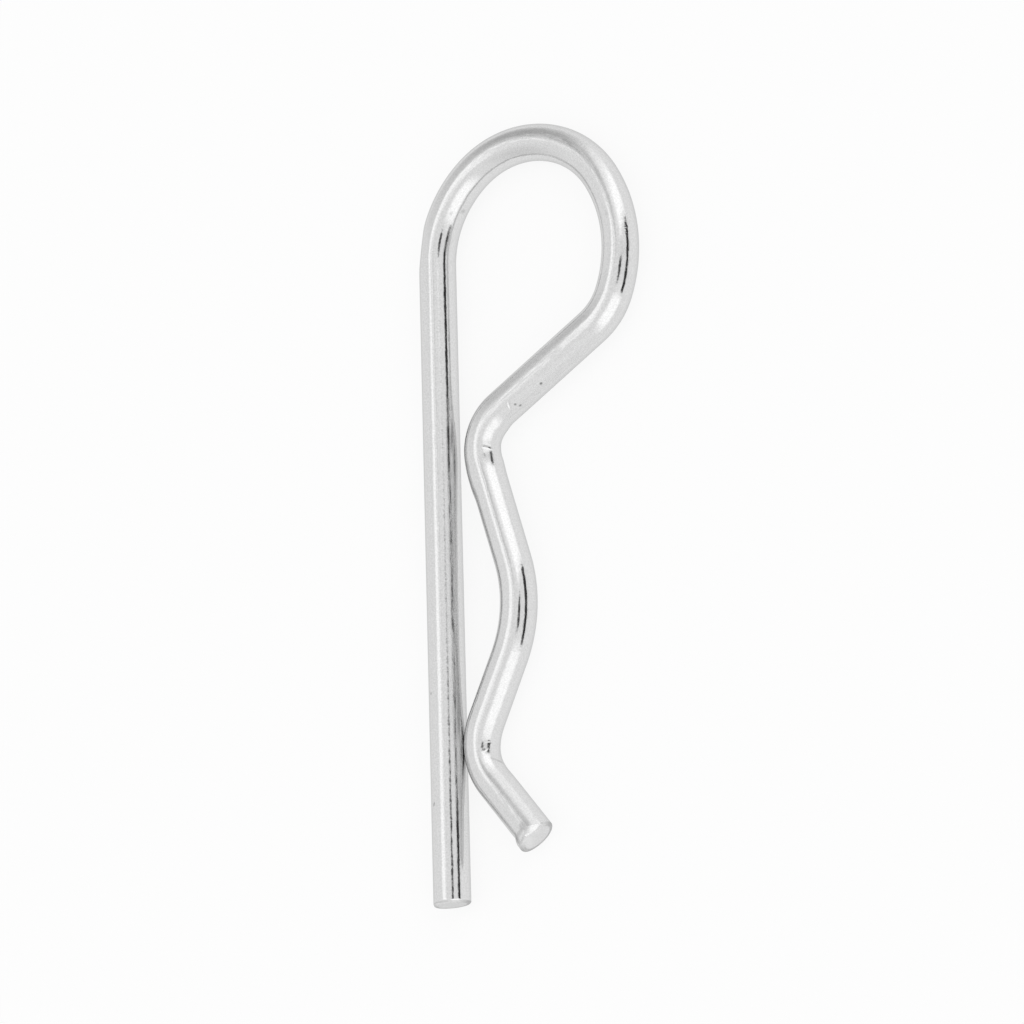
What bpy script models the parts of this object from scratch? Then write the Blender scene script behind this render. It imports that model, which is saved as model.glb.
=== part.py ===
"""R clip: one length of round, zinc-plated spring wire, bent flat into a leg, an eye and a sprung arm.

Metres, +Z up. The clip lies on its side, as it comes to rest: the wire's centreline is parallel to XY,
the leg runs along Y with the eye at its +Y end, and the arm is on its +X side. The origin is on the
floor under the middle of the clip's outline.
"""

import math

import bmesh
import bpy
from mathutils import Vector

# Wire
WIRE_DIAMETER = 0.0040

# Leg: the straight side, which passes through the cross hole of a shaft
LEG_LENGTH = 0.0695

# Eye: four arcs that all turn the wire the same way. The throat turns what the other three leave
EYE_ROOT_RADIUS = 0.01264
EYE_ROOT_SWEEP = math.radians(51.0)
EYE_CROWN_RADIUS = 0.01019
EYE_CROWN_SWEEP = math.radians(98.0)
EYE_SIDE_RADIUS = 0.01511
EYE_SIDE_SWEEP = math.radians(51.5)
EYE_THROAT_RADIUS = 0.00715

# Arm: a ramp from the eye to the elbow, an upper run, the grip that hugs the shaft, a lower run to the
# nip, where the arm springs shut on the leg, and a foot flared to let the shaft in. A slope is the
# angle between a straight run and the leg
RAMP_SLOPE = math.radians(56.1)
ELBOW_RADIUS = 0.00533
UPPER_RUN_SLOPE = math.radians(16.0)
UPPER_RUN_LENGTH = 0.01105
GRIP_RADIUS = 0.01549
LOWER_RUN_SLOPE = math.radians(23.9)
NIP_RADIUS = 0.00670
FOOT_SLOPE = math.radians(38.0)
FOOT_LENGTH = 0.0079

# Gaps from the arm to the leg, surface to surface
ELBOW_GAP = 0.00093
NIP_GAP = 0.00005

# Flats that the bending pin pressed into the inner side of the two tight bends, at their deepest
PIN_MARK_DEPTH = 0.00012

# Sheared ends: each cut leans to one side and pitches, so that the wire's underside is the longer for
# a positive pitch, and its rim is rolled over. The blade also pressed the top of the wire down beside
# both cuts, and on the foot it raised a lip on the side where it left the wire
LEG_CUT_LEAN = math.radians(4.6)
LEG_CUT_PITCH = math.radians(1.5)
FOOT_CUT_LEAN = math.radians(4.2)
FOOT_CUT_PITCH = math.radians(-2.4)
RIM_ROUND = 0.00025
LEG_PRESS_DEPTH = 0.00020
FOOT_PRESS_DEPTH = 0.00032
FOOT_LIP_HEIGHT = 0.00030
SHEARED_REACH = 0.0012

# Facets
SECTION_SIDES = 32
BEND_STEP = math.radians(5.0)
RIM_STEPS = 3
SHEARED_STEPS = 3

# Finish: bright zinc
ZINC_COLOR = (0.78, 0.79, 0.80, 1.0)
ZINC_ROUGHNESS = 0.25
SHARP_EDGE = math.radians(50.0)

WIRE_RADIUS = WIRE_DIAMETER / 2
UP = Vector((0, 0, 1))


class Wire:
    """A wire that grows from its first cut end as it is fed straight on and bent, all in one plane."""

    def __init__(self):
        self.mesh = bmesh.new()
        self.heading = math.pi / 2
        self.end = Vector((0, 0, 0))
        section = bmesh.ops.create_circle(self.mesh, segments=SECTION_SIDES, radius=WIRE_RADIUS)
        for vertex in section["verts"]:
            vertex.co = Vector((vertex.co.x, 0, vertex.co.y))
        self.first_section = list(self.mesh.edges)
        self.last_section = list(self.mesh.edges)

    def forward(self):
        return Vector((math.cos(self.heading), math.sin(self.heading), 0))

    def left(self):
        return UP.cross(self.forward())

    def feed(self, length):
        """Runs the wire straight on."""
        grown = bmesh.ops.extrude_edge_only(self.mesh, edges=self.last_section)["geom"]
        points = {item for item in grown if isinstance(item, bmesh.types.BMVert)}
        bmesh.ops.translate(self.mesh, verts=list(points), vec=self.forward() * length)
        edges = [item for item in grown if isinstance(item, bmesh.types.BMEdge)]
        self.last_section = [edge for edge in edges if points.issuperset(edge.verts)]
        self.end += self.forward() * length

    def bend(self, radius, turn, pin_mark=0.0):
        """Bends the wire round a pin, to the left for a positive turn and to the right for a negative."""
        before = set(self.mesh.verts)
        start = -self.left() * math.copysign(radius, turn)
        centre = self.end - start
        grown = bmesh.ops.spin(
            self.mesh,
            geom=list({point for edge in self.last_section for point in edge.verts}) + self.last_section,
            cent=centre,
            axis=UP,
            angle=turn,
            steps=math.ceil(abs(turn) / BEND_STEP),
        )["geom_last"]
        self.last_section = [item for item in grown if isinstance(item, bmesh.types.BMEdge)]
        self.heading += turn
        self.end = centre - self.left() * math.copysign(radius, turn)
        if pin_mark:
            bent = set(self.mesh.verts) - before
            self.press(bent, centre, radius - WIRE_RADIUS, start, abs(turn), pin_mark)

    def press(self, points, centre, pin_radius, start, turn, depth):
        """Pushes the inner side of a bend flat against the pin, most in the middle of the bend."""
        for point in points:
            arm = point.co - centre
            height = arm.z
            arm.z = 0
            pressed = pin_radius + depth * math.sin(math.pi * min(arm.angle(start) / turn, 1))
            if arm.length < pressed:
                arm.length = pressed
                point.co = centre + arm + UP * height

    def beside(self, end, outward):
        """The points beside a cut end, their places from it, and a share that falls from 1 there to 0."""
        for point in self.mesh.verts:
            arm = point.co - end
            share = 1 + arm.dot(outward) / SHEARED_REACH
            if share > 0 and arm.length < WIRE_DIAMETER:
                yield point, arm, share

    def spread(self, end, outward, side, height):
        """Moves one side of the wire out beside a cut end, or in for a negative height."""
        for point, arm, share in self.beside(end, outward):
            facing = max(arm.dot(side), 0) / WIRE_RADIUS
            point.co += side * height * facing**3 * share**2

    def shear(self, section, end, outward, long_side, lean, pitch):
        """Closes one end with a flat cut that leans towards its long side, and rolls its rim over."""
        for point, arm, share in self.beside(end, outward):
            point.co += outward * share * (math.tan(lean) * arm.dot(long_side) - math.tan(pitch) * arm.z)
        bmesh.ops.edgeloop_fill(self.mesh, edges=section)
        bmesh.ops.bevel(
            self.mesh,
            geom=section,
            offset=RIM_ROUND,
            segments=RIM_STEPS,
            profile=0.5,
            affect="EDGES",
        )


def run_to_leg(start, slope, radius, gap):
    """Length of the straight run after which a bend of that radius just passes the leg at that gap."""
    nearest = WIRE_DIAMETER + gap
    return (start.x - nearest - radius * (1 - math.cos(slope))) / math.sin(slope)


def bend_clip():
    """The wire from the leg's cut end to the foot's, with the leg's centreline along Y at x = 0."""
    wire = Wire()
    for _ in range(SHEARED_STEPS):
        wire.feed(SHEARED_REACH / SHEARED_STEPS)
    wire.feed(LEG_LENGTH - SHEARED_REACH)

    throat_sweep = math.pi + RAMP_SLOPE - EYE_ROOT_SWEEP - EYE_CROWN_SWEEP - EYE_SIDE_SWEEP
    wire.bend(EYE_ROOT_RADIUS, -EYE_ROOT_SWEEP)
    wire.bend(EYE_CROWN_RADIUS, -EYE_CROWN_SWEEP)
    wire.bend(EYE_SIDE_RADIUS, -EYE_SIDE_SWEEP)
    wire.bend(EYE_THROAT_RADIUS, -throat_sweep)

    wire.feed(run_to_leg(wire.end, RAMP_SLOPE, ELBOW_RADIUS, ELBOW_GAP))
    wire.bend(ELBOW_RADIUS, RAMP_SLOPE + UPPER_RUN_SLOPE, PIN_MARK_DEPTH)
    wire.feed(UPPER_RUN_LENGTH)
    wire.bend(GRIP_RADIUS, -UPPER_RUN_SLOPE - LOWER_RUN_SLOPE)
    wire.feed(run_to_leg(wire.end, LOWER_RUN_SLOPE, NIP_RADIUS, NIP_GAP))
    wire.bend(NIP_RADIUS, LOWER_RUN_SLOPE + FOOT_SLOPE, PIN_MARK_DEPTH)
    wire.feed(FOOT_LENGTH - SHEARED_REACH)
    for _ in range(SHEARED_STEPS):
        wire.feed(SHEARED_REACH / SHEARED_STEPS)

    leg_end, leg_out, leg_left = Vector((0, 0, 0)), Vector((0, -1, 0)), Vector((-1, 0, 0))
    wire.spread(leg_end, leg_out, UP, -LEG_PRESS_DEPTH)
    wire.shear(wire.first_section, leg_end, leg_out, leg_left, LEG_CUT_LEAN, LEG_CUT_PITCH)
    foot_end, foot_out, foot_left = wire.end, wire.forward(), wire.left()
    wire.spread(foot_end, foot_out, UP, -FOOT_PRESS_DEPTH)
    wire.spread(foot_end, foot_out, -foot_left, FOOT_LIP_HEIGHT)
    wire.shear(wire.last_section, foot_end, foot_out, -foot_left, FOOT_CUT_LEAN, FOOT_CUT_PITCH)
    bmesh.ops.recalc_face_normals(wire.mesh, faces=wire.mesh.faces)
    return wire.mesh


def lay_down(shape):
    """Moves the clip onto the floor, with the middle of its outline over the origin."""
    lows = [min(point.co[axis] for point in shape.verts) for axis in range(3)]
    highs = [max(point.co[axis] for point in shape.verts) for axis in range(3)]
    middle = Vector(((lows[0] + highs[0]) / 2, (lows[1] + highs[1]) / 2, lows[2]))
    bmesh.ops.translate(shape, verts=shape.verts, vec=-middle)


def zinc():
    material = bpy.data.materials.new("bright_zinc")
    material.use_nodes = True
    shader = material.node_tree.nodes["Principled BSDF"]
    shader.inputs["Base Color"].default_value = ZINC_COLOR
    shader.inputs["Metallic"].default_value = 1.0
    shader.inputs["Roughness"].default_value = ZINC_ROUGHNESS
    return material


def build():
    for old in list(bpy.data.objects):
        bpy.data.objects.remove(old, do_unlink=True)
    shape = bend_clip()
    lay_down(shape)
    mesh = bpy.data.meshes.new("r_clip_wire")
    shape.to_mesh(mesh)
    shape.free()
    mesh.shade_smooth()
    mesh.set_sharp_from_angle(angle=SHARP_EDGE)
    mesh.materials.append(zinc())
    bpy.context.scene.collection.objects.link(bpy.data.objects.new("r_clip_wire", mesh))


build()
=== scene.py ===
"""R clip: one zinc-plated wire with its tool marks and wear, lying on a white floor in a light tent.

Metres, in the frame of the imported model: the clip lies flat on z = 0, its leg along Y, its eye at +Y.
"""

import math
from collections import namedtuple

import bpy
import numpy as np
from mathutils import Matrix, Vector


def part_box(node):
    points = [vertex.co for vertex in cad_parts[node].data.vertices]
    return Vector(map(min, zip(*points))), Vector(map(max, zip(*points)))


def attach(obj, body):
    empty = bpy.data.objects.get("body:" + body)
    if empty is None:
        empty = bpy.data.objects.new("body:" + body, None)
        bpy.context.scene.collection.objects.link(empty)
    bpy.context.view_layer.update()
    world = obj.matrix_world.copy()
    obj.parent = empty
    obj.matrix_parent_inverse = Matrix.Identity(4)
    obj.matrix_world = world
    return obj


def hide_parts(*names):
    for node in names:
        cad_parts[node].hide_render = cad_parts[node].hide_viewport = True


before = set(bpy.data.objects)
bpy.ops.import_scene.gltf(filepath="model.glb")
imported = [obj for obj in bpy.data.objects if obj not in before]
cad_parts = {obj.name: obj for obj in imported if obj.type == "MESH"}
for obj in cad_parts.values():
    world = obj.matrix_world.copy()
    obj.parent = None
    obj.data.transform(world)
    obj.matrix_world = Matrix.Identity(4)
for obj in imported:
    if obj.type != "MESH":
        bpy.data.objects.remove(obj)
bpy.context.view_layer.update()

NODE = "r_clip_wire"
MM_PER_M = 1000

# Wire and centreline, in the sizes of the part
WIRE_RADIUS = 0.0020
LEG_LENGTH = 0.0695
EYE_ROOT_RADIUS = 0.01264
EYE_ROOT_SWEEP = math.radians(51.0)
EYE_CROWN_RADIUS = 0.01019
EYE_CROWN_SWEEP = math.radians(98.0)
EYE_SIDE_RADIUS = 0.01511
EYE_SIDE_SWEEP = math.radians(51.5)
EYE_THROAT_RADIUS = 0.00715
RAMP_SLOPE = math.radians(56.1)
ELBOW_RADIUS = 0.00533
UPPER_RUN_SLOPE = math.radians(16.0)
UPPER_RUN_LENGTH = 0.01105
GRIP_RADIUS = 0.01549
LOWER_RUN_SLOPE = math.radians(23.9)
NIP_RADIUS = 0.00670
FOOT_SLOPE = math.radians(38.0)
FOOT_LENGTH = 0.0079
ELBOW_GAP = 0.00093
NIP_GAP = 0.00005

# Sheared ends: each cut leans and pitches, which moves the skin within the cut zone alone, and its rim is
# rolled over. The blade also rolled the leg's top over, pressed a slope into the foot's and raised a lip
LEG_CUT_LEAN = math.radians(4.6)
LEG_CUT_PITCH = math.radians(-0.7)
FOOT_CUT_LEAN = math.radians(4.2)
FOOT_CUT_PITCH = math.radians(-2.4)
CUT_ZONE = 0.0020
RIM_ROUND = 0.00020
LEG_ROLL_DEPTH = 0.00014
LEG_ROLL_REACH = 0.00028
FOOT_PRESS_DEPTH = 0.00036
FOOT_PRESS_REACH = 0.00062
FOOT_PRESS_LEAN = math.radians(26.0)
LIP_HEIGHT = 0.00030
LIP_REACH = 0.0015
LIP_CREST = 0.0007

# The foot's cut face falls back towards its upper right, by this much at the rim
FALL_BACK = 0.0004
FALL_SIDE = math.radians(115.0)

# Each cut face's rim is painted darker on its lower side, as painted shade for the shadowed floor it would
# reflect: fully where the cosine of the angle to that side is above the dark cosine, and not at all where
# it is below the clear one
SHADED_RIM_WIDTH = 0.00045
LEG_RIM_SHADE_SIDE = math.radians(275.0)
FOOT_RIM_SHADE_SIDE = math.radians(265.0)
RIM_DARK_COSINE = 0.0
RIM_CLEAR_COSINE = -0.9

# Relief and wear are given in millimetres along the wire from the leg's cut end, and in degrees round it
# from its left side over its top. Lengths, widths, heights and depths are in millimetres too. A lean
# turns the length of a mark or patch from the wire's axis, in degrees

# The inner side of the two tight bends: how far it stands out, or in for a negative height
Swell = namedtuple("Swell", "along length height")
INNER_SWELLS = (
    Swell(131, 1.4, 0.05),
    Swell(133.2, 2.5, -0.13),
    Swell(136.3, 2.0, 0.08),
    Swell(169.1, 4.8, -0.18),
)

# Beside the inner side of the tight bends the skin lags behind the wire's turn, and catches up in a fold.
# Each pair is a distance and the lag there in degrees. It only turns the light, the outline stays. The
# middle and the spread are degrees round the wire
LAG_MIDDLE = 44.0
LAG_SPREAD = 44.0
LAGS = (
    # The elbow
    (131.2, 0), (132.6, 5), (133.4, 13), (134.1, 20), (134.7, 26),
    (135.3, 30), (135.9, 19), (136.5, 9), (137.3, 0),
    # The nip
    (165.3, 0), (166.6, 8), (167.4, 12), (168.2, 9), (168.9, 2), (169.4, 0),
)

# Marks pressed into the skin, or raised on it where the depth is negative
Mark = namedtuple("Mark", "along around length width lean depth")
MARKS = (
    # Flats and swellings that the bending tool left on the outer side
    Mark(71.3, 0, 4.0, 4.0, 0, 0.15),
    Mark(137.7, 180, 3.6, 4.0, 0, -0.12),
    # Wrinkles in the elbow and in the nip
    Mark(134.78, 44, 1.4, 0.22, -72, -0.018),
    Mark(168.7, 52, 1.0, 0.30, 60, 0.020),
    Mark(167.9, 42, 0.8, 0.30, 75, 0.015),
    Mark(170.45, 22, 1.5, 0.18, -50, 0.020),
    Mark(171.5, 8, 0.9, 0.24, -60, 0.020),
    # Nick and pits on the ramp, and pits on the leg
    Mark(128.1, 56, 0.90, 0.20, -62, 0.030),
    Mark(124, 38, 0.30, 0.24, 0, 0.015),
    Mark(127.6, 44, 0.28, 0.24, 0, 0.015),
    Mark(127.3, 30, 0.30, 0.20, 0, 0.015),
    Mark(10.6, 60, 0.45, 0.24, 20, 0.012),
    Mark(22.5, 57, 0.30, 0.26, 0, 0.012),
    # Dents on the eye's side
    Mark(105.2, 45, 0.28, 0.50, 0, 0.010),
    Mark(105.7, 46, 0.24, 0.50, 0, 0.010),
)

# Rubbed places, which are rougher and so duller. A negative strength keeps a place smooth
Patch = namedtuple("Patch", "along around length width lean strength")
RUBBED = (
    # The crest of the eye and of the foot, which rub on what the clip lies on
    Patch(92.0, 92, 20, 1.5, 0, 1.0),
    Patch(176.7, 92, 11, 1.4, 0, 1.0),
    # The crown and the ramp, all but a fresh nick
    Patch(92.2, 60, 16, 6.0, 0, 0.5),
    Patch(124.6, 45, 17, 5.0, 0, 0.8),
    Patch(124.6, 90, 13, 1.2, 0, 0.8),
    Patch(128.1, 56, 1.3, 0.6, -62, -0.8),
    # Low on the eye's side, beside the crest
    Patch(107.6, 63, 2.4, 1.0, 0, 1.0),
    # The folds of the elbow and of the nip
    Patch(136.0, 46, 1.8, 1.0, 0, 0.35),
    Patch(136.0, 64, 2.2, 0.9, 0, 1.0),
    Patch(168.5, 50, 2.0, 1.4, 0, 0.3),
    # Beside the foot's cut
    Patch(179.0, 45, 0.9, 0.9, 0, 1.0),
    # Where the leg runs into the eye
    Patch(72.4, 147, 3.6, 0.9, 0, 0.5),
    # The leg's side towards the arm
    Patch(31.5, 140, 43, 1.3, 0, 1.0),
)

# Dark places painted onto the zinc: painted shade in pits, wrinkles and creases, and darker places beside
# the cut ends. Each takes its strength's share of the light
PAINTED_SHADE_SPOTS = (
    # Painted shade in the elbow's wrinkle
    Patch(134.5, 47, 1.1, 0.28, -72, 0.42),
    # Beside the foot's cut, a painted dark reflection on the pressed facet's left part
    Patch(179.2, 90, 1.3, 0.9, 0, 0.25),
    Patch(179.4, 124, 0.5, 1.8, 0, 0.22),
    # Painted shade in the pits on the ramp and on the leg
    Patch(124, 38, 0.34, 0.28, 0, 0.7),
    Patch(127.6, 44, 0.30, 0.26, 0, 0.6),
    Patch(127.3, 30, 0.34, 0.24, 0, 0.6),
    Patch(10.6, 60, 0.50, 0.28, 20, 0.45),
    Patch(22.5, 57, 0.34, 0.30, 0, 0.35),
    # Painted shade in the nip's wrinkles, and in the soft creases that lead on from them
    Patch(168.7, 57, 0.40, 0.30, 40, 0.6),
    Patch(168.3, 62, 0.50, 0.24, 60, 0.4),
    Patch(170.1, 36, 0.8, 0.34, -62, 0.15),
    Patch(170.6, 13, 1.2, 0.38, -57, 0.22),
    # Darker beside the leg's cut
    Patch(0.1, 58, 0.36, 1.5, 0, 0.3),
    # Painted shade in shallow pits on the eye
    Patch(75.6, 131, 0.40, 0.34, 0, 0.25),
    Patch(76.4, 167, 0.36, 0.50, 0, 0.3),
    Patch(103.3, 98, 0.45, 0.36, 0, 0.15),
)

# Rings of the mesh: a coarse step on straight runs, finer ones on bends, at marks and beside the cuts. A
# mark's step is a share of its smaller side, but no finer than the mark step. The rings at a lag reach
# some millimetres to both sides of it, and no two rings come closer than the closest step
RUN_STEP = 0.0006
BEND_STEP = math.radians(2.0)
MARK_STEP = 0.00006
MARK_STEP_SHARE = 0.12
CLOSEST_STEP = MARK_STEP * 0.8
CLOSEST_TO_CUT = RIM_ROUND * 1.2
LAG_RINGS = 13
LAG_REACH = 0.5

# Rings of each rim and of each cut face, and the radius of the innermost one as a share of the face's
RIM_RINGS = 7
FACE_RINGS = 10
INNERMOST_RING = 0.04

# Sides of the mesh: fine over the top, as far as the marks go, and coarse below
FINE_SIDE = math.radians(1.8)
COARSE_SIDE = math.radians(6.0)
FINE_SIDES_END = math.radians(144.0)

# How far inside the wire's radius the bright cut face and its rim of painted shade end, as shares of the
# rounding
CUT_INSET = 0.8
RIM_INSET = 0.02


class Centreline:
    """Straight and curved stretches laid end to end in the plane of the clip, from the leg's cut end."""

    def __init__(self):
        self.stretches = []
        self.place = np.zeros(2)
        self.heading = math.pi / 2
        self.length = 0.0

    def feed(self, length, turn=0.0):
        """Lays a stretch that turns evenly over its length, to the left for a positive turn."""
        self.stretches.append((self.length, self.place, self.heading, turn / length))
        places, headings = self.travel(self.place, self.heading, turn / length, np.array([length]))
        self.place, self.heading = places[0], headings[0]
        self.length += length

    def bend(self, radius, turn):
        self.feed(radius * abs(turn), turn)

    @staticmethod
    def travel(place, heading, curvature, runs):
        """Places and headings after each run from a place, straight on where the curvature is 0."""
        headings = heading + curvature * runs
        if curvature:
            across = np.sin(headings) - math.sin(heading)
            along = math.cos(heading) - np.cos(headings)
            steps = np.stack([across, along], axis=-1) / curvature
        else:
            steps = np.outer(runs, [math.cos(heading), math.sin(heading)])
        return place + steps, headings

    def at(self, distances):
        """Places and headings at these distances along the wire."""
        places = np.zeros((len(distances), 2))
        headings = np.zeros(len(distances))
        for start, place, heading, curvature in self.stretches:
            reached = distances >= start
            if start == 0:
                reached[:] = True
            runs = distances[reached] - start
            places[reached], headings[reached] = self.travel(place, heading, curvature, runs)
        return places, headings


def run_to_leg(start, slope, radius, gap):
    """Length of the straight run after which a bend of that radius just passes the leg at that gap."""
    nearest = 2 * WIRE_RADIUS + gap
    return (start[0] - nearest - radius * (1 - math.cos(slope))) / math.sin(slope)


def clip_centreline():
    line = Centreline()
    line.feed(LEG_LENGTH)
    throat_sweep = math.pi + RAMP_SLOPE - EYE_ROOT_SWEEP - EYE_CROWN_SWEEP - EYE_SIDE_SWEEP
    line.bend(EYE_ROOT_RADIUS, -EYE_ROOT_SWEEP)
    line.bend(EYE_CROWN_RADIUS, -EYE_CROWN_SWEEP)
    line.bend(EYE_SIDE_RADIUS, -EYE_SIDE_SWEEP)
    line.bend(EYE_THROAT_RADIUS, -throat_sweep)
    line.feed(run_to_leg(line.place, RAMP_SLOPE, ELBOW_RADIUS, ELBOW_GAP))
    line.bend(ELBOW_RADIUS, RAMP_SLOPE + UPPER_RUN_SLOPE)
    line.feed(UPPER_RUN_LENGTH)
    line.bend(GRIP_RADIUS, -UPPER_RUN_SLOPE - LOWER_RUN_SLOPE)
    line.feed(run_to_leg(line.place, LOWER_RUN_SLOPE, NIP_RADIUS, NIP_GAP))
    line.bend(NIP_RADIUS, LOWER_RUN_SLOPE + FOOT_SLOPE)
    line.feed(FOOT_LENGTH)
    return line


LINE = clip_centreline()


def rings():
    """Distance and radius of each ring, from the middle of the leg's cut face to that of the foot's."""
    flat = np.linspace(INNERMOST_RING, 1, FACE_RINGS, endpoint=False) * (WIRE_RADIUS - RIM_ROUND)
    turned = np.linspace(0, math.pi / 2, RIM_RINGS)
    rim_distances = RIM_ROUND * (1 - np.sin(turned))
    rim_radii = WIRE_RADIUS - RIM_ROUND * (1 - np.cos(turned))
    start_distances = np.concatenate([np.zeros(FACE_RINGS), rim_distances[::-1]])
    start_radii = np.concatenate([flat, rim_radii[::-1]])
    stations = body_stations()
    distances = np.concatenate([start_distances, stations, LINE.length - start_distances[::-1]])
    radii = np.concatenate([start_radii, np.full(len(stations), WIRE_RADIUS), start_radii[::-1]])
    return distances, radii


def body_stations():
    """Distances of the rings between the two rims: closer on bends, beside the cuts and at marks."""
    end = LINE.length
    found = [np.arange(RIM_ROUND, CUT_ZONE, MARK_STEP), end - np.arange(RIM_ROUND, CUT_ZONE, MARK_STEP)]
    edges = [stretch[0] for stretch in LINE.stretches] + [end]
    for (start, _, _, curvature), stop in zip(LINE.stretches, edges[1:]):
        step = min(BEND_STEP / abs(curvature), RUN_STEP) if curvature else RUN_STEP
        found.append(np.linspace(start, stop, math.ceil((stop - start) / step), endpoint=False))
    for mark in MARKS:
        lean = math.radians(mark.lean)
        reach = (mark.length * abs(math.cos(lean)) + mark.width * abs(math.sin(lean))) / MM_PER_M
        step = max(MARK_STEP, min(mark.length, mark.width) * MARK_STEP_SHARE / MM_PER_M)
        found.append(np.arange(mark.along / MM_PER_M - reach, mark.along / MM_PER_M + reach, step))
    for distance, lag in LAGS:
        if lag:
            found.append(np.linspace(distance - LAG_REACH, distance + LAG_REACH, LAG_RINGS) / MM_PER_M)
    merged = np.unique(np.concatenate(found))
    merged = merged[(merged > CLOSEST_TO_CUT) & (merged < end - CLOSEST_TO_CUT)]
    kept = [merged[0]]
    for distance in merged[1:]:
        if distance - kept[-1] > CLOSEST_STEP:
            kept.append(distance)
    return np.array(kept)


def sides():
    """Angles of the mesh's sides about the wire: 0 is its left, and a quarter turn is up."""
    fine = np.arange(0, FINE_SIDES_END, FINE_SIDE)
    count = round((2 * math.pi - FINE_SIDES_END) / COARSE_SIDE)
    coarse = np.linspace(FINE_SIDES_END, 2 * math.pi, count, endpoint=False)
    return np.concatenate([fine, coarse])


def ramp_up(values, low, high):
    """0 up to low, 1 from high on, and smooth between."""
    share = np.clip((values - low) / (high - low), 0, 1)
    return share * share * (3 - 2 * share)


def bell(distances, angles, spot):
    """1 in the middle of a mark or patch, about 0.4 at its edge and 0 beyond it."""
    lean = math.radians(spot.lean)
    forward = distances[:, None] * MM_PER_M - spot.along
    turned = np.degrees(angles)[None, :] - spot.around
    round_wire = np.radians((turned + 180) % 360 - 180) * WIRE_RADIUS * MM_PER_M
    lengthwise = forward * math.cos(lean) + round_wire * math.sin(lean)
    widthwise = round_wire * math.cos(lean) - forward * math.sin(lean)
    reach = (2 * lengthwise / spot.length) ** 2 + (2 * widthwise / spot.width) ** 2
    return np.exp(-reach * reach)


def skin_turn(distances, angles):
    """How far the skin's normals turn along the wire, most beside the inner side of the tight bends."""
    turned = (np.degrees(angles) - LAG_MIDDLE + 180) % 360 - 180
    share = np.cos(angles) * np.exp(-((turned / LAG_SPREAD) ** 4))
    at, lags = np.array(LAGS).T
    return np.tan(np.radians(np.interp(distances * MM_PER_M, at, lags)))[:, None] * share


def dress_ends(distances, across, height):
    """Rolls the leg's top over, presses the foot's to a slope that falls to the cut, and raises its lip."""
    rolled = LEG_ROLL_DEPTH * np.clip(1 - distances / LEG_ROLL_REACH, 0, 1)
    share = 1 - rolled[:, None] / WIRE_RADIUS * ramp_up(height, 0, WIRE_RADIUS / 2)
    across *= share
    height *= share
    from_foot = LINE.length - distances
    pressed = np.clip(1 - from_foot / FOOT_PRESS_REACH, 0, 1)[:, None]
    fallen = FOOT_PRESS_DEPTH / WIRE_RADIUS * np.hypot(across, height) + across * math.tan(FOOT_PRESS_LEAN)
    limit = np.hypot(across, height) - fallen * pressed
    height[:] = np.where(pressed > 0, np.minimum(height, limit), height)
    raised = LIP_HEIGHT * (1 - ramp_up(from_foot, LIP_CREST, LIP_REACH))
    across -= raised[:, None] * (np.maximum(-across, 0) / WIRE_RADIUS) ** 3


def cut_slant(distances, across, height):
    """How far each point moves along the wire, so that both cuts lean and pitch and the foot's falls."""
    at_leg = 1 - ramp_up(distances, CUT_ZONE / 2, CUT_ZONE)
    at_foot = ramp_up(distances, LINE.length - CUT_ZONE, LINE.length - CUT_ZONE / 2)
    leg = across * math.tan(LEG_CUT_LEAN) - height * math.tan(LEG_CUT_PITCH)
    foot = across * math.tan(FOOT_CUT_LEAN) + height * math.tan(FOOT_CUT_PITCH)
    facing = np.maximum(across * math.cos(FALL_SIDE) + height * math.sin(FALL_SIDE), 0) / WIRE_RADIUS
    foot += FALL_BACK * facing**2
    return -at_leg[:, None] * leg - at_foot[:, None] * foot


def wire_points(distances, radii, angles):
    """The skin's points, the same on the straightened wire in millimetres, and how their normals turn."""
    places, headings = LINE.at(distances)
    skin = np.repeat(radii[:, None], len(angles), axis=1)
    for mark in MARKS:
        skin -= mark.depth / MM_PER_M * bell(distances, angles, mark)
    across = skin * np.cos(angles)
    height = skin * np.sin(angles)
    for swell in INNER_SWELLS:
        along = (distances * MM_PER_M - swell.along) / (swell.length / 2)
        raised = swell.height / MM_PER_M * np.exp(-along * along)
        across += raised[:, None] * np.maximum(across, 0) / WIRE_RADIUS
    dress_ends(distances, across, height)
    along = cut_slant(distances, across, height)

    forward = np.stack([np.cos(headings), np.sin(headings)], axis=-1)
    left = np.stack([-np.sin(headings), np.cos(headings)], axis=-1)
    flat = places[:, None] + across[..., None] * left[:, None] + along[..., None] * forward[:, None]
    points = np.concatenate([flat, height[..., None]], axis=-1)
    straight = np.stack([across, height, distances[:, None] + along], axis=-1)
    ahead = np.append(forward, np.zeros((len(forward), 1)), axis=1)
    turn = skin_turn(distances, angles)[..., None] * ahead[:, None]
    return points, straight * MM_PER_M, turn


def skin_faces(ring_count, side_count):
    """Quads between the rings, and one face over the hole left in the middle of each cut face."""
    ring, side = np.meshgrid(np.arange(ring_count - 1), np.arange(side_count), indexing="ij")
    after = (side + 1) % side_count
    quads = np.stack(
        [
            ring * side_count + side,
            ring * side_count + after,
            (ring + 1) * side_count + after,
            (ring + 1) * side_count + side,
        ],
        axis=-1,
    ).reshape(-1, 4)
    first = tuple(reversed(range(side_count)))
    last = tuple(range((ring_count - 1) * side_count, ring_count * side_count))
    return [tuple(int(corner) for corner in quad) for quad in quads] + [first, last]


def place_in_frame(points):
    """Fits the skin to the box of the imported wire."""
    low, high = (np.array(corner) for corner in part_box(NODE))
    lowest, highest = points.min(axis=0), points.max(axis=0)
    return low + (points - lowest) * (high - low) / (highest - lowest)


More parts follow.
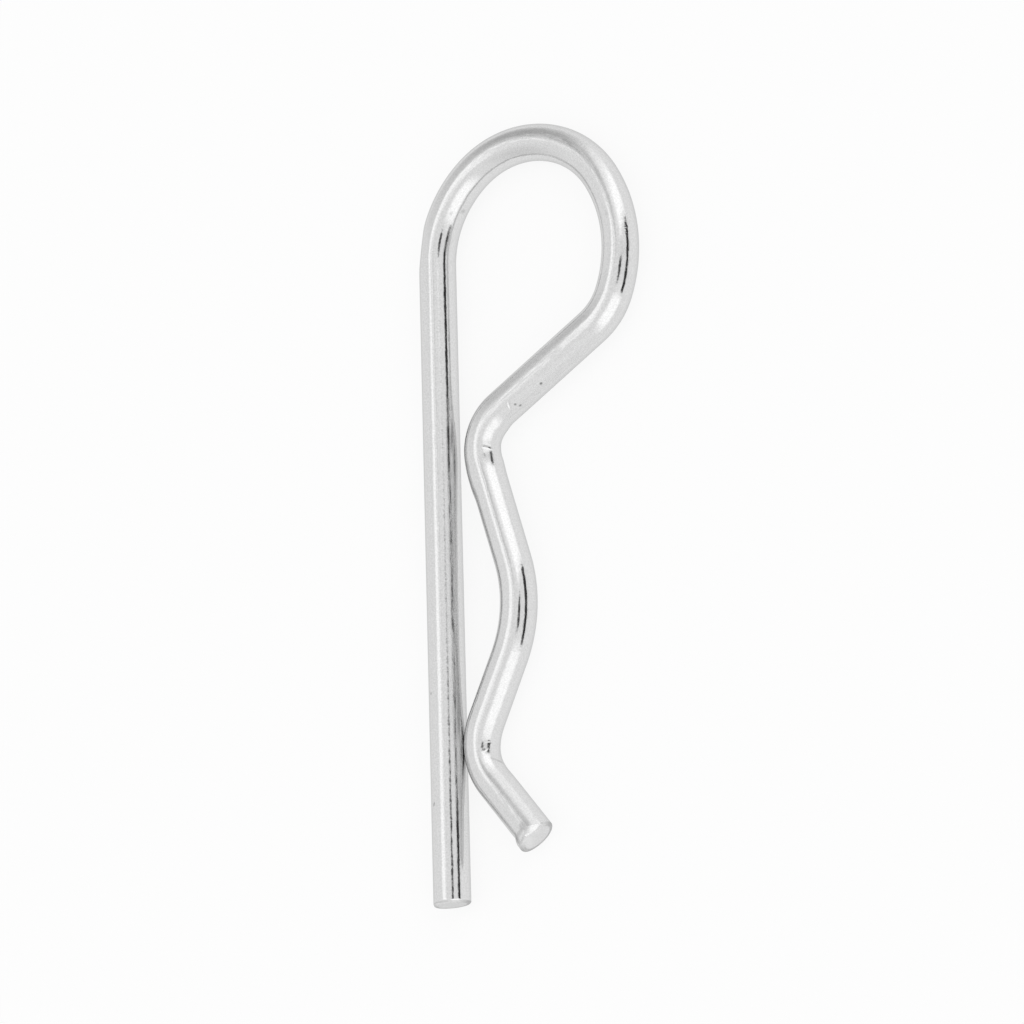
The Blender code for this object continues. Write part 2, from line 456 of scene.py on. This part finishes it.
def add_attribute(mesh, name, values):
    layer = mesh.attributes.new(name, "FLOAT", "POINT")
    layer.data.foreach_set("value", values.astype(np.float32).ravel())


def add_vectors(mesh, name, values):
    layer = mesh.attributes.new(name, "FLOAT_VECTOR", "POINT")
    layer.data.foreach_set("vector", values.astype(np.float32).ravel())


def wire():
    distances, radii = rings()
    angles = sides()
    points, straight, turn = wire_points(distances, radii, angles)
    points = place_in_frame(points.reshape(-1, 3))
    mesh = bpy.data.meshes.new("zinc_wire")
    mesh.from_pydata(points.tolist(), [], skin_faces(len(distances), len(angles)))
    add_vectors(mesh, "unbent", straight)
    add_vectors(mesh, "turn", turn)
    cut = radii < WIRE_RADIUS - RIM_ROUND * CUT_INSET
    add_attribute(mesh, "cut", np.repeat(cut, len(angles)))
    # Painted shade: the lower side of each cut end's rim is darkened where it would reflect the shadowed
    # floor
    edge = (radii > WIRE_RADIUS - SHADED_RIM_WIDTH) & (radii < WIRE_RADIUS - RIM_ROUND * RIM_INSET)
    side = np.where(distances < LINE.length / 2, LEG_RIM_SHADE_SIDE, FOOT_RIM_SHADE_SIDE)
    dark = ramp_up(np.cos(angles - side[:, None]), RIM_CLEAR_COSINE, RIM_DARK_COSINE)
    add_attribute(mesh, "rim", edge[:, None] * dark)
    rubbed = sum(patch.strength * bell(distances, angles, patch) for patch in RUBBED)
    add_attribute(mesh, "rubbed", np.minimum(rubbed, 1))
    # Painted shade in pits, wrinkles and creases, and darker places beside the cut ends
    painted_shade = sum(patch.strength * bell(distances, angles, patch) for patch in PAINTED_SHADE_SPOTS)
    add_attribute(mesh, "painted_shade", np.minimum(painted_shade, 1) * (radii == WIRE_RADIUS)[:, None])
    mesh.shade_smooth()
    mesh.materials.append(zinc())
    piece = bpy.data.objects.new("zinc_wire", mesh)
    bpy.context.scene.collection.objects.link(piece)
    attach(piece, "root")
    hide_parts(NODE)


class Nodes:
    """A node tree that is written as nested calls."""

    def __init__(self, tree):
        self.tree = tree
        tree.nodes.clear()

    def add(self, kind, values=(), links=(), **settings):
        node = self.tree.nodes.new(kind)
        for name, value in settings.items():
            setattr(node, name, value)
        for socket, value in dict(values).items():
            node.inputs[socket].default_value = value
        for socket, source in dict(links).items():
            self.tree.links.new(source, node.inputs[socket])
        return node

    def math(self, operation, first, second=None, third=None):
        node = self.tree.nodes.new("ShaderNodeMath")
        node.operation = operation
        for index, value in enumerate((first, second, third)):
            if value is None:
                continue
            if isinstance(value, (int, float)):
                node.inputs[index].default_value = value
            else:
                self.tree.links.new(value, node.inputs[index])
        return node.outputs[0]

    def fade(self, value, low, high, at_low, at_high):
        """A smooth change from one value to another as the input goes from low to high."""
        node = self.add(
            "ShaderNodeMapRange",
            values={1: low, 2: high, 3: at_low, 4: at_high},
            links={0: value},
            interpolation_type="SMOOTHSTEP",
        )
        return node.outputs[0]

    def noise(self, place, noise):
        values = {"Scale": noise.scale, "Detail": noise.detail}
        return self.add("ShaderNodeTexNoise", values=values, links={"Vector": place}).outputs[0]

    def attribute(self, name, output="Fac"):
        return self.add("ShaderNodeAttribute", attribute_name=name).outputs[output]


# Zinc: share of light that it reflects, and the roughness of its smooth places and what mottle, rubbing
# and the cut add to it
ZINC_REFLECTANCE = 0.715
CUT_REFLECTANCE = 0.80
# The rim's lower reflectance is painted shade on the lower side of each cut end's rim
RIM_SHADE_REFLECTANCE = 0.47
EDGE_TINT = 0.75
SMOOTH_ROUGHNESS = 0.085
MOTTLE_ROUGHNESS = 0.05
RUBBED_ROUGHNESS = 0.22
CUT_ROUGHNESS = 0.25

# Noise on the straightened wire, in millimetres: the plating's mottle and grain, and lines drawn along
# it. Each takes effect from its low value to its high one
Noise = namedtuple("Noise", "scale detail low high")
MOTTLE = Noise(1.2, 4.0, 0.3, 0.7)
GRAIN = Noise(6.0, 2.0, 0.3, 0.7)
LINES = Noise(5.0, 3.0, 0.35, 0.65)
LINE_SQUEEZE = (1, 1, 0.12)

# What the noise does: grain in the tone, streaks in the rubbed places as shares of the rubbing, and bumps,
# in which lines, grain and the cut's coarser grain are shares of the mottle
GRAIN_TONE = 0.06
STREAK_LEAST = 0.4
STREAK_MOST = 1.5
BUMP_HEIGHT = 0.000015
LINE_BUMP = 0.25
GRAIN_BUMP = 0.08
CUT_BUMP = 1.4


def zinc():
    material = bpy.data.materials.new("bright_zinc")
    material.use_nodes = True
    nodes = Nodes(material.node_tree)
    skin = nodes.attribute("unbent", "Vector")
    cut = nodes.attribute("cut")
    drawn = nodes.add("ShaderNodeMapping", values={"Scale": LINE_SQUEEZE}, links={"Vector": skin})
    mottle = nodes.noise(skin, MOTTLE)
    grain = nodes.noise(skin, GRAIN)
    lines = nodes.noise(drawn.outputs[0], LINES)

    tone = nodes.math("MULTIPLY_ADD", cut, CUT_REFLECTANCE - ZINC_REFLECTANCE, ZINC_REFLECTANCE)
    # Painted shade on the lower side of the cut ends' rims
    tone = nodes.math("MULTIPLY_ADD", nodes.attribute("rim"), RIM_SHADE_REFLECTANCE - ZINC_REFLECTANCE, tone)
    grained = nodes.fade(grain, GRAIN.low, GRAIN.high, 1 - GRAIN_TONE, 1 + GRAIN_TONE)
    tone = nodes.math("MULTIPLY", tone, grained)
    # Painted shade from the dark places in pits, wrinkles and creases, and darker places beside the cut
    # ends
    tone = nodes.math("MULTIPLY", tone, nodes.math("SUBTRACT", 1.0, nodes.attribute("painted_shade")))

    roughest = SMOOTH_ROUGHNESS + MOTTLE_ROUGHNESS
    roughness = nodes.fade(mottle, MOTTLE.low, MOTTLE.high, SMOOTH_ROUGHNESS, roughest)
    streaks = nodes.fade(lines, LINES.low, LINES.high, STREAK_LEAST, STREAK_MOST)
    worn = nodes.math("MULTIPLY", nodes.attribute("rubbed"), streaks)
    roughness = nodes.math("MULTIPLY_ADD", worn, RUBBED_ROUGHNESS, roughness)
    roughness = nodes.math("MULTIPLY_ADD", cut, CUT_ROUGHNESS, roughness)

    height = nodes.math("MULTIPLY_ADD", lines, LINE_BUMP, mottle)
    grain_bump = nodes.math("MULTIPLY_ADD", cut, CUT_BUMP, GRAIN_BUMP)
    height = nodes.math("MULTIPLY_ADD", grain, grain_bump, height)
    normal = nodes.add("ShaderNodeNewGeometry").outputs["Normal"]
    both = {0: normal, 1: nodes.attribute("turn", "Vector")}
    turned = nodes.add("ShaderNodeVectorMath", operation="ADD", links=both).outputs[0]
    facing = nodes.add("ShaderNodeVectorMath", operation="NORMALIZE", links={0: turned}).outputs[0]
    bump = nodes.add(
        "ShaderNodeBump",
        values={"Strength": 1.0, "Distance": BUMP_HEIGHT},
        links={"Height": height, "Normal": facing},
    )
    shader = nodes.add(
        "ShaderNodeBsdfPrincipled",
        values={"Metallic": 1.0, "Specular Tint": (EDGE_TINT, EDGE_TINT, EDGE_TINT, 1.0)},
        links={"Base Color": tone, "Roughness": roughness, "Normal": bump.outputs[0]},
    )
    nodes.add("ShaderNodeOutputMaterial", links={"Surface": shader.outputs[0]})
    return material


# The light tent: white all round, with grey cards, softboxes and two black flags on it, each over those
# before it. Each covers a range of azimuth, from +X towards +Y, and of elevation above the floor, in
# degrees, with an edge that fades, and its level is a share of the tent's own. A slope raises it, for
# each degree of azimuth past its middle
TENT_LEVEL = 0.94
Panel = namedtuple("Panel", "left right bottom top slope edge level")
TENT = (
    Panel(-145, -95, -8, 52, 0.0, 40, 0.855),
    Panel(88, 141, 2, 69, 0.0, 50, 0.50),
    Panel(-61, -16, 5, 62, 0.0, 20, 1.43),
    Panel(56, 78, 4, 68, 0.0, 18, 1.17),
    Panel(31, 59, 11, 59, 0.0, 16, 1.46),
    Panel(122, 250, 69, 95, 0.0, 12, 1.12),
    Panel(160, 246, 71, 81, 0.0, 5, 1.28),
    Panel(137, 168, 56, 75, 0.0, 8, 1.36),
    Panel(101, 134, 69, 74.5, -0.68, 4, 1.3),
    Panel(-3, 20.8, 51, 62.5, 0.15, 2, 0.06),
    Panel(-15, 28, 8.8, 24.3, 0.2, 2, 0.03),
)


def light_tent():
    world = bpy.data.worlds.new("light_tent")
    bpy.context.scene.world = world
    world.use_nodes = True
    nodes = Nodes(world.node_tree)
    direction = nodes.add("ShaderNodeTexCoord").outputs["Generated"]
    axes = nodes.add("ShaderNodeSeparateXYZ", links={0: direction}).outputs
    azimuth = nodes.math("DEGREES", nodes.math("ARCTAN2", axes[1], axes[0]))
    elevation = nodes.math("DEGREES", nodes.math("ARCSINE", axes[2]))
    level = 1.0
    for panel in TENT:
        middle, half_width = (panel.left + panel.right) / 2, (panel.right - panel.left) / 2
        centre, half_height = (panel.bottom + panel.top) / 2, (panel.top - panel.bottom) / 2
        away = nodes.math("WRAP", nodes.math("SUBTRACT", azimuth, middle), 180.0, -180.0)
        across = nodes.math("ABSOLUTE", away)
        centre = nodes.math("MULTIPLY_ADD", away, panel.slope, centre)
        up = nodes.math("ABSOLUTE", nodes.math("SUBTRACT", elevation, centre))
        fade = panel.edge / 2
        inside = nodes.fade(across, half_width - fade, half_width + fade, 1, 0)
        beside = nodes.fade(up, half_height - fade, half_height + fade, 1, 0)
        share = nodes.math("MULTIPLY", inside, beside)
        change = nodes.math("SUBTRACT", panel.level, level)
        level = nodes.math("MULTIPLY_ADD", share, change, level)
    lit = nodes.math("MULTIPLY", level, TENT_LEVEL)
    to_camera = nodes.add("ShaderNodeLightPath").outputs["Is Camera Ray"]
    strength = nodes.math("MULTIPLY_ADD", to_camera, nodes.math("SUBTRACT", 1.0, lit), lit)
    white = {"Color": (1.0, 1.0, 1.0, 1.0)}
    light = nodes.add("ShaderNodeBackground", values=white, links={"Strength": strength})
    nodes.add("ShaderNodeOutputWorld", links={"Surface": light.outputs[0]})


# The floor, and the shares of plain white in how the camera and the metal's reflections see it
FLOOR_SIZE = 4.0
FLOOR_ALBEDO = 0.95
SEEN_GLOW = 0.85
REFLECTED_GLOW = 0.9


def floor():
    mesh = bpy.data.meshes.new("floor")
    half = FLOOR_SIZE / 2
    corners = [(-half, -half, 0), (half, -half, 0), (half, half, 0), (-half, half, 0)]
    mesh.from_pydata(corners, [], [(0, 1, 2, 3)])
    material = bpy.data.materials.new("white_paper")
    material.use_nodes = True
    nodes = Nodes(material.node_tree)
    paper = nodes.add("ShaderNodeBsdfDiffuse", values={"Color": (FLOOR_ALBEDO,) * 3 + (1.0,)})
    glow = nodes.add("ShaderNodeEmission", values={"Strength": 1.0})
    path = nodes.add("ShaderNodeLightPath").outputs
    reflected = nodes.math("MAXIMUM", path["Is Glossy Ray"], path["Is Transmission Ray"])
    share = nodes.math("MULTIPLY", path["Is Camera Ray"], SEEN_GLOW)
    share = nodes.math("MULTIPLY_ADD", reflected, REFLECTED_GLOW, share)
    mixed = nodes.add("ShaderNodeMixShader", links={0: share, 1: paper.outputs[0], 2: glow.outputs[0]})
    nodes.add("ShaderNodeOutputMaterial", links={"Surface": mixed.outputs[0]})
    mesh.materials.append(material)
    ground = bpy.data.objects.new("floor", mesh)
    bpy.context.scene.collection.objects.link(ground)


# The camera, as the photograph has it: a long lens that looks down on the lying clip from its arm's side
TARGET = Vector((-0.00275, -0.00039, 0.0020))
VIEW_AZIMUTH = math.radians(63.4)
VIEW_ELEVATION = math.radians(60.1)
VIEW_ROLL = math.radians(-1.49)
VIEW_DISTANCE = 0.600
LENS = 198.9
SENSOR = 36.0
CLIP_START = 0.01
CLIP_END = 10.0


def camera():
    back = Vector(
        (
            math.sin(VIEW_AZIMUTH) * math.cos(VIEW_ELEVATION),
            -math.cos(VIEW_AZIMUTH) * math.cos(VIEW_ELEVATION),
            math.sin(VIEW_ELEVATION),
        )
    )
    right = Vector((0, 1, 0)).cross(back).normalized()
    up = back.cross(right)
    turned = Matrix.Rotation(VIEW_ROLL, 3, back)
    right, up = turned @ right, turned @ up
    data = bpy.data.cameras.new("camera")
    data.lens = LENS
    data.sensor_width = SENSOR
    data.clip_start = CLIP_START
    data.clip_end = CLIP_END
    eye = bpy.data.objects.new("camera", data)
    facing = Matrix((right, up, back)).transposed().to_4x4()
    eye.matrix_world = Matrix.Translation(TARGET + back * VIEW_DISTANCE) @ facing
    bpy.context.scene.collection.objects.link(eye)
    bpy.context.scene.camera = eye


bpy.context.scene.view_settings.view_transform = "Standard"
camera()
light_tent()
floor()
wire()
